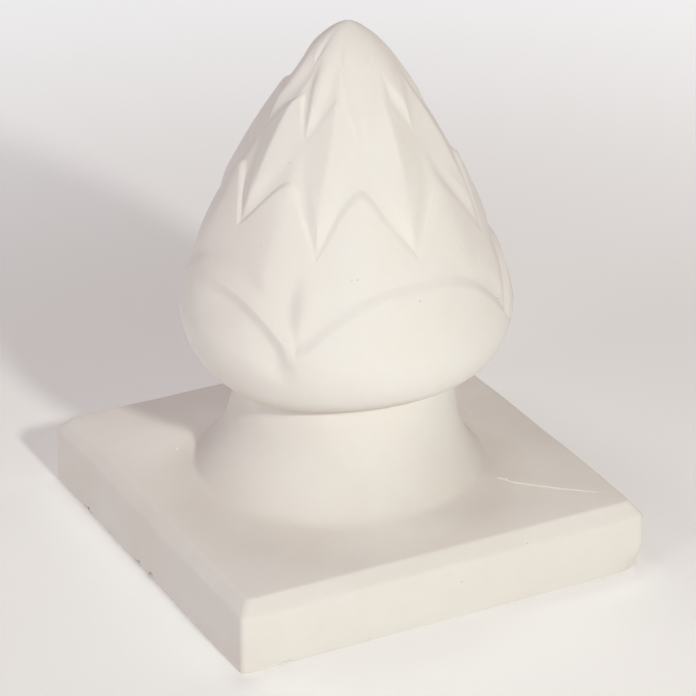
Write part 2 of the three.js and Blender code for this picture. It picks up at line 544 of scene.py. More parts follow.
@dataclass
class PineCone:
    """The cone of overlapping scales, from the crease at its foot to its blunt tip.

    A point of the cone is first placed by its even azimuth and its share of the height, where the scales
    are even. It is then turned by what the carver's hand did to each scale, so that ribs and edges stay on
    rows and columns.
    """

    base_height: float
    height: float
    foot_radius: float = 46.5 * MM
    belly_radius: float = 73.1 * MM
    belly_share: float = 0.216
    underside_power: float = 0.53
    shoulder_power: float = 1.24
    tip_power: float = 0.724
    blunt_width: float = 4.6 * MM
    blunt_reach: float = 30.0 * MM
    foot_rise: float = 1.2 * MM
    foot_share: float = 0.08
    lean: tuple[float, float] = (0.65 * MM, -0.35 * MM)
    tip_lean: tuple[float, float] = (0.7 * MM, -0.36 * MM)
    tip_lean_ease: Ease = Ease(0.6, 0.4)
    front_rise: float = 2.3 * MM
    front_sag: float = 0.9 * MM
    rise_ease: Ease = Ease(-152.0, 50.0)
    fall_ease: Ease = Ease(-62.0, 45.0)
    sag_azimuth: float = -158.0
    sag_wide: float = 16.0
    crease_share: float = 0.2
    swellings: tuple[Swelling, ...] = (Swelling(-208.0, 0.42, 1.6 * MM, 26.0, 0.11),
                                       Swelling(-14.0, 0.70, 1.5 * MM, 24.0, 0.07),
                                       Swelling(-42.0, 0.38, 1.2 * MM, 13.0, 0.13))
    recess_reach: float = 0.1
    flush: float = 0.4 * MM
    most_overlap: float = 1.25
    facet_reach: float = 0.26
    cap_ease: Ease = Ease(0.04275, 0.095)
    hollow_depth: float = 3.1 * MM
    hollow_begins: Ease = Ease(-190.0, 25.0)
    hollow_ends: Ease = Ease(-143.0, 10.0)
    hollow_climbs: Ease = Ease(0.1, 0.1)
    flank_width: float = 5.6 * MM
    flank_turn: float = 0.3
    hollow_return: float = 3.0
    crest_radius: float = 0.5 * MM
    apron: float = 8.5 * MM
    folds: tuple[Fold, ...] = (Fold(-132.5, 7.5, 3.1 * MM, 16.0, 1.1 * MM),
                               Fold(-42.5, 16.0, 0.5 * MM, 10.0, 2.1 * MM),
                               Fold(47.5, 14.0, 1.2 * MM, 14.0, 1.2 * MM),
                               Fold(137.5, 14.0, 1.2 * MM, 14.0, 1.2 * MM))
    fold_return: float = 2.2
    fold_begins: Ease = Ease(0.19, 0.05)
    fold_ends: Ease = Ease(0.34, 0.12)
    slope_span: float = 2.0
    edge_gap: float = 0.12 * MM
    band_rows: tuple[int, ...] = (52, 44, 40, 30, 30)
    rings: tuple[ScaleRing, ...] = (
        ScaleRing(scales=4, midrib=-90.0, valley=0.225, tip=0.392, arch=2.3, bluntness=0.1,
                  step=1.35 * MM, notch_step=0.8, brow=3.6 * MM, foot=1.3 * MM,
                  overlap=0.0, facet=0.0, softness=0.2, form=EdgeForm.ROLLED, leaves=(
                      Leaf(-2, valley=12.0, curl=1.0, proud=1.6 * MM),
                      Leaf(-1, tip=3.0, lift=-4.4 * MM, valley_lift=1.0 * MM, curl=1.0, proud=1.9 * MM),
                      Leaf(0, tip=3.0, lift=1.2 * MM),
                      Leaf(1, proud=2.0 * MM))),
        ScaleRing(scales=8, midrib=-108.0, valley=0.475, tip=0.635, arch=1.2, bluntness=0.12,
                  step=1.6 * MM, notch_step=0.4, brow=1.7 * MM, foot=1.7 * MM,
                  overlap=0.1, facet=0.4, softness=0.14, leaves=(
                      Leaf(-2, rib=6.0, valley=-2.0, valley_lift=4.8 * MM, wear=-0.3),
                      Leaf(-1, rib=3.5, valley_lift=-1.6 * MM, wear=-0.4),
                      Leaf(0, rib=-3.5, lift=-1.6 * MM, valley_lift=-2.4 * MM),
                      Leaf(1, lift=-3.0 * MM, valley=-2.0, valley_lift=-4.0 * MM, wear=1.2),
                      Leaf(2, lift=-2.5 * MM))),
        ScaleRing(scales=8, midrib=-130.5, valley=0.72, tip=0.832, arch=1.15, bluntness=0.05,
                  step=0.8 * MM, notch_step=0.15, brow=1.4 * MM, foot=1.4 * MM,
                  overlap=0.35, facet=1.05, softness=0.06, leaves=(
                      Leaf(-1, rib=4.0, tip=6.0, valley=1.5, wear=-0.4),
                      Leaf(0, rib=3.0, tip=1.5, valley=1.5, valley_lift=-4.0 * MM, wear=0.5),
                      Leaf(1, rib=1.5, tip=9.0, lift=-4.5 * MM, valley_lift=1.0 * MM, proud=-0.3 * MM,
                           wear=1.6),
                      Leaf(2, rib=-0.5, tip=3.0, lift=-4.5 * MM, proud=-0.3 * MM, wear=1.6))),
        ScaleRing(scales=8, midrib=-108.0, valley=0.9, tip=0.955, arch=1.2, bluntness=0.15,
                  step=0.15 * MM, notch_step=0.3, brow=2.0 * MM, foot=2.0 * MM,
                  overlap=0.0, facet=1.9, softness=0.22, leaves=(
                      Leaf(-2, rib=11.0),
                      Leaf(-1, rib=3.5),
                      Leaf(0, rib=3.0, rubbed=0.8),
                      Leaf(1, rubbed=0.85),
                      Leaf(2, rubbed=0.6))),
    )

    def plain_radius(self, share: np.ndarray) -> np.ndarray:
        """Radius of the plain cone, before any carving.

        Args:
            share: Shares of the cone's height.

        Returns:
            The radius at each share, in metres.
        """
        below = np.clip(1 - share / self.belly_share, 0, 1)
        swell = np.maximum(1 - below ** 2, 0) ** self.underside_power
        low = self.foot_radius + (self.belly_radius - self.foot_radius) * swell
        above = np.clip((share - self.belly_share) / (1 - self.belly_share), 0, 1)
        high = self.belly_radius * np.maximum(1 - above ** self.shoulder_power, 0) ** self.tip_power
        under_tip = np.clip((1 - share) * self.height / self.blunt_reach, 0, 1)
        high = high + self.blunt_width * np.sqrt(under_tip) * (1 - under_tip) ** 1.5
        return np.where(share < self.belly_share, low, high)

    def inside_edge(self, ring: ScaleRing, azimuth: np.ndarray, share: np.ndarray) -> np.ndarray:
        """Distance down from a ring's edge, square to it, in metres. It is below 0 past the edge.

        Args:
            ring: The ring whose edge it is.
            azimuth: Azimuths in degrees.
            share: Shares of the cone's height.

        Returns:
            The distance at each place.
        """
        span = self.slope_span
        rise = ring.edge(azimuth + span, self.height) - ring.edge(azimuth - span, self.height)
        run = math.radians(2 * span) * self.plain_radius(share) / self.height
        drop = ring.edge(azimuth, self.height) - share
        return drop / np.hypot(1, rise / np.maximum(run, 1e-4)) * self.height

    def facets(self, ring: ScaleRing, azimuth: np.ndarray, share: np.ndarray) -> np.ndarray:
        """Flat faces on both sides of a ring's midribs, as a factor on the radius.

        Args:
            ring: The ring whose scales have the faces.
            azimuth: Azimuths in degrees.
            share: Shares of the cone's height.

        Returns:
            The factor at each place.
        """
        half = math.pi / ring.scales
        across = np.hypot(ring.across(azimuth), ring.softness) - ring.softness * 0.5
        flat = math.cos(half) / np.cos(half * (1 - np.clip(across, 0, 1)))
        strength = ring.facet * smooth(1 - (ring.valley - share) / self.facet_reach)
        strength = strength * self.cap_ease.at(1 - share) * (1 - ring.eased("rubbed", azimuth))
        return 1 - strength * (1 - flat)

    def rolled_relief(self, ring: ScaleRing, azimuth: np.ndarray, share: np.ndarray) -> np.ndarray:
        """Hollow inside a turned-out rim, in metres: a steep flank by the crest and a slow return.

        Args:
            ring: The ring whose rim it is.
            azimuth: Azimuths in degrees.
            share: Shares of the cone's height.

        Returns:
            What the hollow adds to the radius, below 0 inside it.
        """
        inside = np.maximum(self.inside_edge(ring, azimuth, share), 0)
        inside = (np.hypot(inside, self.crest_radius) - self.crest_radius) / self.flank_width
        fall = (1 + inside - np.hypot(1 - inside, self.flank_turn)) / 2
        fall = np.maximum(fall, 0) * (1 - smooth((inside - 1) / self.hollow_return))
        held = self.hollow_begins.around(azimuth) * (1 - self.hollow_ends.around(azimuth))
        return -self.hollow_depth * fall * held * self.hollow_climbs.at(share)

    def corner_folds(self, azimuth: np.ndarray, share: np.ndarray) -> np.ndarray:
        """Relief of the folds that rise from the notches of the lowest ring, in metres.

        Args:
            azimuth: Azimuths in degrees.
            share: Shares of the cone's height.

        Returns:
            What the folds' flanks add to the radius, 0 on their ridges.
        """
        drop = np.zeros(np.broadcast(azimuth, share).shape)
        for fold in self.folds:
            offset = apart(azimuth, fold.azimuth)
            left = np.maximum(-offset, 0) / fold.left
            right = np.maximum(offset, 0) / fold.right
            drop = drop + fold.left_drop * smooth(left) * (1 - smooth((left - 1) / self.fold_return))
            drop = drop + fold.right_drop * smooth(right) * (1 - smooth((right - 1) / self.fold_return))
        return -drop * self.fold_begins.at(share) * (1 - self.fold_ends.at(share))

    def fullness(self, azimuth: np.ndarray, share: np.ndarray) -> np.ndarray:
        """What the broad swellings add to the radius, in metres.

        Args:
            azimuth: Azimuths in degrees.
            share: Shares of the cone's height.

        Returns:
            The added radius at each place.
        """
        added = np.zeros(np.broadcast(azimuth, share).shape)
        for swelling in self.swellings:
            beside = hump(apart(azimuth, swelling.azimuth) / swelling.wide)
            added = added + swelling.rise * beside * hump((share - swelling.share) / swelling.tall)
        return added

    def crease_lift(self, azimuth: np.ndarray) -> np.ndarray:
        """How much higher the crease lies: it climbs at the front right and sags at the front left.

        Args:
            azimuth: Azimuths in degrees.

        Returns:
            The lift at each azimuth, in metres.
        """
        rise = self.rise_ease.around(azimuth) * (1 - self.fall_ease.around(azimuth))
        sag = hump(apart(azimuth, self.sag_azimuth) / self.sag_wide)
        return self.front_rise * rise - self.front_sag * sag

    def foot_lift(self, azimuth: np.ndarray, share: np.ndarray) -> np.ndarray:
        """How much higher the underside lies than it would on a true cone, in metres."""
        lift = self.foot_rise * (1 - smooth(share / self.foot_share))
        return lift + self.crease_lift(azimuth) * (1 - smooth(share / self.crease_share))

    def band_share(self, band: int, along: np.ndarray, azimuth: np.ndarray) -> np.ndarray:
        """Share of the height at places in a band, so that rows of points follow the edges of the scales.

        Args:
            band: 0 for the lowest ring's scales, and one past the last ring for the bare tip.
            along: Places from 0 to 1 from the band's foot to its edge.
            azimuth: Azimuths in degrees.

        Returns:
            Shares of the cone's height.
        """
        if band == 0:
            return self.rings[0].edge(azimuth, self.height) * along
        low = self.rings[band - 1].edge(azimuth, self.height) + self.edge_gap / self.height
        if band == len(self.rings):
            return low + (1 - low) * along
        return low + (self.rings[band].edge(azimuth, self.height) - low) * along

    def faced_radius(self, band: int, azimuth: np.ndarray, share: np.ndarray) -> np.ndarray:
        """Radius of a band's own faces and relief, without the steps at its edges.

        Args:
            band: 0 for the lowest ring's scales, and one past the last ring for the bare tip.
            azimuth: Azimuths in degrees.
            share: Shares of the cone's height.

        Returns:
            The radius at each place, in metres.
        """
        radius = self.plain_radius(share) + self.fullness(azimuth, share)
        if band == len(self.rings):
            return radius
        ring = self.rings[band]
        radius = radius * self.facets(ring, azimuth, share)
        if ring.form is EdgeForm.ROLLED:
            radius = radius + self.rolled_relief(ring, azimuth, share)
        if band == 1:
            radius = radius + self.corner_folds(azimuth, share)
        return radius

    def carved_radius(self, band: int, azimuth: np.ndarray, share: np.ndarray) -> np.ndarray:
        """Radius of the carved cone in a band.

        A ring's scales stand proud of the ring above, whose faces begin a step behind their edge. The step
        is full at the tips and slighter at the notches, and both sides of it are rounded, as worn stone is.

        Args:
            band: 0 for the lowest ring's scales, and one past the last ring for the bare tip.
            azimuth: Azimuths in degrees.
            share: Shares of the cone's height.

        Returns:
            The radius at each place, in metres.
        """
        radius = self.faced_radius(band, azimuth, share)
        if band < len(self.rings):
            ring = self.rings[band]
            radius = radius - self.step_at(ring, azimuth) * self.worn(ring, azimuth, share)
        if band > 0:
            below = self.rings[band - 1]
            edge = below.edge(azimuth, self.height)
            gap = self.faced_radius(band, azimuth, edge) - self.faced_radius(band - 1, azimuth, edge)
            proud = (gap + np.hypot(gap, self.flush)) / 2
            down = self.worn(below, azimuth, share)
            kept = below.overlap * np.clip(1 - below.eased("wear", azimuth) / 2, 0, self.most_overlap)
            sunk = gap + self.step_at(below, azimuth) * down + (proud - gap) * kept * smooth(2 * down - 1)
            radius = radius - sunk * (1 - smooth((share - edge) / self.recess_reach))
        return radius

    def worn(self, ring: ScaleRing, azimuth: np.ndarray, share: np.ndarray) -> np.ndarray:
        """How far down a ring's worn step a place is: 0 on the scale and 1 past the step's foot.

        Args:
            ring: The ring whose edge has the step.
            azimuth: Azimuths in degrees.
            share: Shares of the cone's height.

        Returns:
            The share of the step at each place.
        """
        curl = ring.eased("curl", azimuth)
        soft = 1 + ring.eased("wear", azimuth)
        brow = ring.brow * soft * (1 - curl) + self.crest_radius * curl
        foot = ring.foot * soft * (1 - curl) + self.apron * curl
        return smooth((brow - self.inside_edge(ring, azimuth, share)) / (brow + foot))

    def step_at(self, ring: ScaleRing, azimuth: np.ndarray) -> np.ndarray:
        """Height of the step at a ring's edge, in metres: full at the tips and slighter at the notches.

        Args:
            ring: The ring whose edge has the step.
            azimuth: Azimuths in degrees.

        Returns:
            The height at each azimuth.
        """
        edge = ring.edge(azimuth, self.height)
        up = smooth((edge - ring.valley) / (ring.tip - ring.valley))
        height = ring.step + ring.eased("proud", azimuth)
        return height * (ring.notch_step + (1 - ring.notch_step) * up)

    def hand(self, azimuth: np.ndarray, share: np.ndarray) -> np.ndarray:
        """Degrees by which the carver's hand turned each rib, eased from one ring to the next.

        Args:
            azimuth: Azimuths in degrees.
            share: Shares of the cone's height.

        Returns:
            The turn at each place.
        """
        levels = [0.5 * (ring.valley + ring.tip) for ring in self.rings]
        turned = np.zeros(np.broadcast(azimuth, share).shape)
        for place, ring in enumerate(self.rings[1:], start=1):
            below = smooth((share - levels[place - 1]) / (levels[place] - levels[place - 1]))
            above = 1.0
            if place + 1 < len(self.rings):
                above = 1 - smooth((share - levels[place]) / (levels[place + 1] - levels[place]))
            turned = turned + ring.eased("rib", azimuth) * below * above
        return turned

    def rows(self, azimuths: np.ndarray) -> np.ndarray:
        """Places the cone's rows, from the crease to just under the tip.

        Args:
            azimuths: The columns' azimuths, in radians.

        Returns:
            Rows of points, a row being one point a column.
        """
        even = np.degrees(azimuths)
        bands = []
        for band, count in enumerate(self.band_rows):
            along = crowded(count)[:, None]
            if band == len(self.rings):
                along = along[:-1]
            share = self.band_share(band, along, even[None, :])
            radius = self.carved_radius(band, even[None, :], share)
            turn = np.radians(even + self.hand(even[None, :], share))
            up = smooth(share / self.foot_share)
            high = self.tip_lean_ease.at(share)
            height = self.base_height + share * self.height + self.foot_lift(even[None, :], share)
            aside = [self.lean[axis] * up + self.tip_lean[axis] * high for axis in range(2)]
            across = radius * np.cos(turn) + aside[0]
            back = radius * np.sin(turn) + aside[1]
            bands.append(np.stack([across, back, height], -1))
        return np.concatenate(bands)

    def summit(self) -> tuple[float, float, float]:
        """The cone's highest point."""
        across, back = [self.lean[axis] + self.tip_lean[axis] for axis in range(2)]
        return (across, back, self.base_height + self.height)


@dataclass(frozen=True)
class CastStone:
    """Cast stone, a moist mix of fine sand and white cement rammed into a mould and left as it came out.

    It gives the eye a dead matt, warm off-white with a sandy tooth, faint cloudy patches where the mix was
    wetter, pin holes of air drawn as dots of painted shade, and a brownish painted shade under the cone's
    overhang, where the crease lies in shadow. The grain is drawn about twice as coarse as the real sand, so
    that it shows.
    """

    name: str = "rammed off-white cast stone"
    pale_hex: str = "#efede9"
    warm_hex: str = "#ede9e4"
    # Painted shade: the pin holes are dots of this darker colour, standing in for the shadow inside each
    # hole.
    pin_hole_shade_hex: str = "#c9bfb2"
    # The next four settings paint a brownish shade under the cone's overhang, where the crease lies in
    # shadow.
    crease_shade_hex: str = "#e4dbd0"
    crease_shade_foot: float = 74 * MM
    crease_shade_heights: tuple[float, float] = (80 * MM, 92 * MM)
    crease_shade_radius: tuple[float, float] = (50.5 * MM, 52.5 * MM)
    roughness: float = 0.86
    specular: float = 0.3
    cloud_size: float = 38 * MM
    cloud_span: tuple[float, float] = (0.35, 0.65)
    grain_size: float = 0.55 * MM
    tooth_size: float = 1.6 * MM
    hole_spacing: float = 15 * MM
    hole_radii: tuple[float, float] = (0.18 * MM, 0.42 * MM)
    grain_depth: float = 0.05 * MM
    tooth_depth: float = 0.08 * MM

    def build(self) -> bpy.types.Material:
        """Makes the stone's material.

        Returns:
            The material, with its patterns on the object's own coordinates.
        """
        material = bpy.data.materials.new(self.name)
        material.use_nodes = True
        tree = material.node_tree
        shader = tree.nodes["Principled BSDF"]
        shader.inputs["Roughness"].default_value = self.roughness
        shader.inputs["Specular IOR Level"].default_value = self.specular
        place = add_node(tree, "ShaderNodeTexCoord")
        tree.links.new(self.colour(tree, place).outputs[2], shader.inputs["Base Color"])
        tree.links.new(self.relief(tree, place).outputs["Normal"], shader.inputs["Normal"])
        return material

    def colour(self, tree: bpy.types.NodeTree, place: bpy.types.Node) -> bpy.types.Node:
        """Mixes the body colour, its clouds, the painted shade under the cone and the pin holes' painted
        shade.

        Args:
            tree: The material's nodes.
            place: The node with the object's coordinates.

        Returns:
            The node that mixes the final colour.
        """
        clouds = add_node(tree, "ShaderNodeTexNoise",
                          {"Scale": 1 / self.cloud_size, "Detail": 5.0, "Roughness": 0.6},
                          {"Vector": (place, "Object")})
        soft = add_node(tree, "ShaderNodeMapRange",
                        {"From Min": self.cloud_span[0], "From Max": self.cloud_span[1]},
                        {"Value": (clouds, "Fac")})
        body = add_node(tree, "ShaderNodeMix", {6: linear(self.pale_hex), 7: linear(self.warm_hex)},
                        {0: (soft, "Result")}, data_type="RGBA")
        body = self.paint_crease_shade(tree, place, body)
        # Pin holes: dots of painted shade, not cut into the stone.
        holes = add_node(tree, "ShaderNodeTexVoronoi", {"Scale": 1 / self.hole_spacing, "Randomness": 1.0},
                         {"Vector": (place, "Object")})
        inner, outer = [radius / self.hole_spacing for radius in self.hole_radii]
        pin_shade = add_node(tree, "ShaderNodeMapRange",
                       {"From Min": inner, "From Max": outer, "To Min": 1.0, "To Max": 0.0},
                       {"Value": (holes, "Distance")})
        return add_node(tree, "ShaderNodeMix", {7: linear(self.pin_hole_shade_hex)},
                        {0: (pin_shade, "Result"), 6: (body, 2)}, data_type="RGBA")

    def relief(self, tree: bpy.types.NodeTree, place: bpy.types.Node) -> bpy.types.Node:
        """Gives the surface its sandy tooth and its finer grain.

        Args:
            tree: The material's nodes.
            place: The node with the object's coordinates.

        Returns:
            The node with the final normal.
        """
        tooth = add_node(tree, "ShaderNodeTexNoise", {"Scale": 1 / self.tooth_size, "Detail": 3.0},
                         {"Vector": (place, "Object")})
        grain = add_node(tree, "ShaderNodeTexNoise", {"Scale": 1 / self.grain_size, "Detail": 2.0},
                         {"Vector": (place, "Object")})
        low = add_node(tree, "ShaderNodeBump", {"Strength": 1.0, "Distance": self.tooth_depth},
                       {"Height": (tooth, "Fac")})
        return add_node(tree, "ShaderNodeBump", {"Strength": 1.0, "Distance": self.grain_depth},
                        {"Height": (grain, "Fac"), "Normal": (low, "Normal")})

    def paint_crease_shade(self, tree: bpy.types.NodeTree, place: bpy.types.Node, body: bpy.types.Node) -> bpy.types.Node:
        """Lays a brownish painted shade over the body colour, low on the cone and outside the neck.

        Args:
            tree: The material's nodes.
            place: The node with the object's coordinates.
            body: The node that mixes the body colour.

        Returns:
            The node that mixes the colour with the painted shade.
        """
        # Painted shade: a brownish darkening low on the cone and outside the neck, standing in for the
        # crease's shadow.
        split = add_node(tree, "ShaderNodeSeparateXYZ", {}, {0: (place, "Object")})
        flat = add_node(tree, "ShaderNodeCombineXYZ", {}, {"X": (split, "X"), "Y": (split, "Y")})
        radius = add_node(tree, "ShaderNodeVectorMath", {}, {0: (flat, 0)}, operation="LENGTH")
        full, none = self.crease_shade_heights
        low = add_node(tree, "ShaderNodeMapRange",
                       {"From Min": full, "From Max": none, "To Min": 1.0, "To Max": 0.0},
                       {"Value": (split, "Z")}, interpolation_type="SMOOTHSTEP")
        above = add_node(tree, "ShaderNodeMath", {1: self.crease_shade_foot}, {0: (split, "Z")},
                         operation="GREATER_THAN")
        inner, outer = self.crease_shade_radius
        outside = add_node(tree, "ShaderNodeMapRange", {"From Min": inner, "From Max": outer},
                           {"Value": (radius, "Value")})
        both = add_node(tree, "ShaderNodeMath", {}, {0: (low, "Result"), 1: (outside, "Result")},
                        operation="MULTIPLY")
        crease_shade_mask = add_node(tree, "ShaderNodeMath", {}, {0: (both, 0), 1: (above, 0)}, operation="MULTIPLY")
        return add_node(tree, "ShaderNodeMix", {7: linear(self.crease_shade_hex)}, {0: (crease_shade_mask, 0), 6: (body, 2)},
                        data_type="RGBA")


def linear(hex_colour: str) -> tuple[float, float, float, float]:
    """Turns an sRGB hex colour to the linear one that a shader takes.

    Args:
        hex_colour: A colour as # and six hex digits.

    Returns:
        Linear red, green, blue and a full alpha.
    """
    parts = [int(hex_colour[i:i + 2], 16) / 255 for i in (1, 3, 5)]
    turned = [part / 12.92 if part <= 0.04045 else ((part + 0.055) / 1.055) ** 2.4 for part in parts]
    return (turned[0], turned[1], turned[2], 1.0)


def add_node(tree: bpy.types.NodeTree, kind: str, values: dict | None = None, links: dict | None = None,
             **settings: str) -> bpy.types.Node:
    """Adds a node with its settings, its sockets' values and its links.

    Args:
        tree: The node tree that the node goes in.
        kind: The node's type.
        values: Values by socket name or number.
        links: Source node and socket, by this node's socket name or number.
        settings: Properties of the node itself.

    Returns:
        The new node.
    """
    node = tree.nodes.new(kind)
    for name, value in settings.items():
        setattr(node, name, value)
    for socket, value in (values or {}).items():
        node.inputs[socket].default_value = value
    for socket, (source, output) in (links or {}).items():
        tree.links.new(source.outputs[output], node.inputs[socket])
    return node


def deselect() -> None:
    """Leaves object mode with nothing selected, because the frame's own node is selected once loaded."""
    if bpy.context.object and bpy.context.object.mode != "OBJECT":
        bpy.ops.object.mode_set(mode="OBJECT")
    bpy.ops.object.select_all(action="DESELECT")


@dataclass(frozen=True)
class Camera:
    """The camera of the photograph, worked out from the slab's corners and the cone's outline.

    Azimuth 0 looks along +Y. `aside` and `above` move the camera off the line through the origin.
    """

    azimuth: float = -27.68
    elevation: float = 25.33
    distance: float = 1352.4 * MM
    aside: float = 1.5 * MM
    above: float = 77.6 * MM
    focal_pixels: float = 2980.9
    sensor: float = 36.0

    def axes(self) -> Matrix:
        """The camera's right, up and back directions, as the columns of a matrix.

        Returns:
            A matrix that turns the camera's own directions to the scene's.
        """
        turn, tilt = math.radians(self.azimuth), math.radians(self.elevation)
        back = Vector((math.sin(turn) * math.cos(tilt), -math.cos(turn) * math.cos(tilt), math.sin(tilt)))
        right = Vector((math.cos(turn), math.sin(turn), 0))
        return Matrix((right, back.cross(right), back)).transposed()

    def place(self) -> Vector:
        """Where the camera stands."""
        return self.axes() @ Vector((self.aside, self.above, self.distance))

    def ray(self, pixel: tuple[float, float]) -> Vector:
        """Direction from the camera through a pixel of the photograph.

        Args:
            pixel: Pixels from the photograph's left and top edges.

        Returns:
            A direction of length 1.
        """
        middle = PHOTO_SIZE / 2
        look = Vector((pixel[0] - middle, middle - pixel[1], -self.focal_pixels))
        return (self.axes() @ look).normalized()

    def build(self) -> None:
        """Makes the camera and gives it to the scene."""
        data = bpy.data.cameras.new("photograph view")
        data.sensor_width = self.sensor
        data.lens = self.focal_pixels * self.sensor / PHOTO_SIZE
        data.clip_end = 20
        camera = bpy.data.objects.new("photograph view", data)
        camera.matrix_world = Matrix.Translation(self.place()) @ self.axes().to_4x4()
        bpy.context.scene.collection.objects.link(camera)
        bpy.context.scene.camera = camera


@dataclass(frozen=True)
class Hollow:
    """A small hole or knock in the surface, at a pixel of the photograph."""

    pixel: tuple[float, float]
    size: tuple[float, float, float]


@dataclass(frozen=True)
class Fin:
    """The thin raised line that a joint of the mould left on the slab's top, with a nib near its start.

    Each stop along it is a pixel of the photograph with the half width and the height there. The section
    goes round the line from under its left foot, in half widths across and in heights or roots up.
    """

    stops: tuple[tuple[float, float, float, float], ...] = (
        (496.5, 478.0, 0.12 * MM, 0.05 * MM),
        (500.0, 478.4, 0.40 * MM, 0.42 * MM),
        (504.0, 479.0, 0.45 * MM, 0.50 * MM),
        (506.0, 479.4, 0.95 * MM, 1.10 * MM),
        (508.5, 480.4, 0.42 * MM, 0.45 * MM),
        (512.0, 482.2, 0.46 * MM, 0.58 * MM),
        (524.0, 484.0, 0.42 * MM, 0.52 * MM),
        (540.0, 486.2, 0.46 * MM, 0.58 * MM),
        (556.0, 488.2, 0.40 * MM, 0.50 * MM),
        (574.0, 490.0, 0.34 * MM, 0.42 * MM),
        (590.0, 491.6, 0.24 * MM, 0.28 * MM),
        (599.0, 492.4, 0.20 * MM, 0.18 * MM),
        (607.0, 493.0, 0.12 * MM, 0.06 * MM),
    )
    root: float = 0.5 * MM
    between: int = 3
    section: tuple[tuple[float, float], ...] = ((-1.0, -1.0), (-1.0, 0.0), (-0.62, 0.78), (0.0, 1.0),
                                                (0.62, 0.78), (1.0, 0.0), (1.0, -1.0), (0.0, -1.0))

    def build(self, tree: BVHTree, camera: "Camera") -> bpy.types.Object:
        """Makes the fin as a closed bar that follows the stone.

        Args:
            tree: The casting's surface.
            camera: The camera of the photograph.

        Returns:
            The bar, rooted a little way in the stone.
        """
        stops = np.array(self.stops)
        places = np.linspace(0, len(stops) - 1, (len(stops) - 1) * self.between + 1)
        finer = np.stack([np.interp(places, np.arange(len(stops)), stops[:, i]) for i in range(4)], -1)
        ground = [tree.ray_cast(camera.place(), camera.ray((stop[0], stop[1])))[0] for stop in finer]
        rows = []
        for number, (place, stop) in enumerate(zip(ground, finer)):
            ahead = ground[min(number + 1, len(ground) - 1)] - ground[max(number - 1, 0)]
            side = ahead.cross(Vector((0, 0, 1))).normalized()
            rises = [up * (stop[3] if up > 0 else self.root) for across, up in self.section]
            rows.append([place + side * across * stop[2] + Vector((0, 0, rise))
                         for (across, up), rise in zip(self.section, rises)])
        return shaped_ball("mould_line", np.array(rows), tuple(ground[0]), tuple(ground[-1]))


@dataclass
class Wear:
    """What casting and handling left: air holes, knocks on an edge and a line from the mould."""

    seed: int = 11
    stray_scale: float = 1.7
    stray_shift: float = 900.0
    hole_stray: float = 0.5
    knock_stray: float = 0.9
    air_holes: tuple[Hollow, ...] = (
        Hollow((357, 280), (0.8 * MM, 0.45 * MM, 0.5 * MM)),
        Hollow((351, 281), (0.9 * MM, 0.25 * MM, 0.3 * MM)),
        Hollow((261, 246), (1.2 * MM, 0.3 * MM, 0.3 * MM)),
        Hollow((289, 163), (0.5 * MM, 0.35 * MM, 0.4 * MM)),
        Hollow((498, 298), (1.2 * MM, 1.2 * MM, 0.5 * MM)),
        Hollow((420, 301), (0.5 * MM, 0.5 * MM, 0.4 * MM)),
        Hollow((177, 449), (0.6 * MM, 0.6 * MM, 0.5 * MM)),
        Hollow((471, 413), (0.6 * MM, 0.6 * MM, 0.4 * MM)),
        Hollow((545, 505), (0.7 * MM, 0.7 * MM, 0.4 * MM)),
    )
    knocks: tuple[Hollow, ...] = (
        Hollow((121, 545), (1.6 * MM, 3.6 * MM, 1.8 * MM)),
        Hollow((138, 563), (1.5 * MM, 2.8 * MM, 1.8 * MM)),
        Hollow((151, 576), (1.9 * MM, 2.6 * MM, 2.4 * MM)),
        Hollow((89, 510), (1.2 * MM, 2.0 * MM, 1.2 * MM)),
        Hollow((560, 589), (2.6 * MM, 0.8 * MM, 0.7 * MM)),
        Hollow((470, 614), (3.2 * MM, 0.7 * MM, 0.6 * MM)),
        Hollow((330, 651), (2.6 * MM, 0.8 * MM, 0.7 * MM)),
        Hollow((285, 662), (3.0 * MM, 0.7 * MM, 0.7 * MM)),
    )
    fin: Fin = field(default_factory=Fin)

    def lump(self, size: tuple[float, float, float], place: Vector, roughness: float) -> bpy.types.Object:
        """Makes an uneven lump to be cut out of the casting.

        Args:
            size: Half lengths along X, Y and Z.
            place: Its middle.
            roughness: How far its points stray, as a share of its size.

        Returns:
            The lump, with its place in its mesh.
        """
        deselect()
        bpy.ops.mesh.primitive_ico_sphere_add(subdivisions=3, radius=1, location=(0, 0, 0))
        lump = bpy.context.object
        for vertex in lump.data.vertices:
            spot = vertex.co * self.stray_scale + place * self.stray_shift + Vector((self.seed, 0, 0))
            stray = noise.noise(spot)
            grown = vertex.co * (1 + roughness * stray)
            vertex.co = Vector(grown[axis] * size[axis] for axis in range(3)) + place
        return lump

    def cutters(self, tree: BVHTree, camera: Camera) -> bpy.types.Object:
        """Makes all the holes and knocks as one mesh, each set where its pixel's ray meets the casting.

        Args:
            tree: The casting's surface.
            camera: The camera of the photograph.

        Returns:
            One object that holds every lump.
        """
        lumps = []
        holes = [(hole, self.hole_stray) for hole in self.air_holes]
        for hollow, roughness in holes + [(knock, self.knock_stray) for knock in self.knocks]:
            place = tree.ray_cast(camera.place(), camera.ray(hollow.pixel))[0]
            if place is None:
                LOG.warning("no stone under pixel %s", hollow.pixel)
                continue
            lumps.append(self.lump(hollow.size, place, roughness))
        deselect()
        for lump in lumps:
            lump.select_set(True)
        bpy.context.view_layer.objects.active = lumps[0]
        bpy.ops.object.join()
        return bpy.context.object


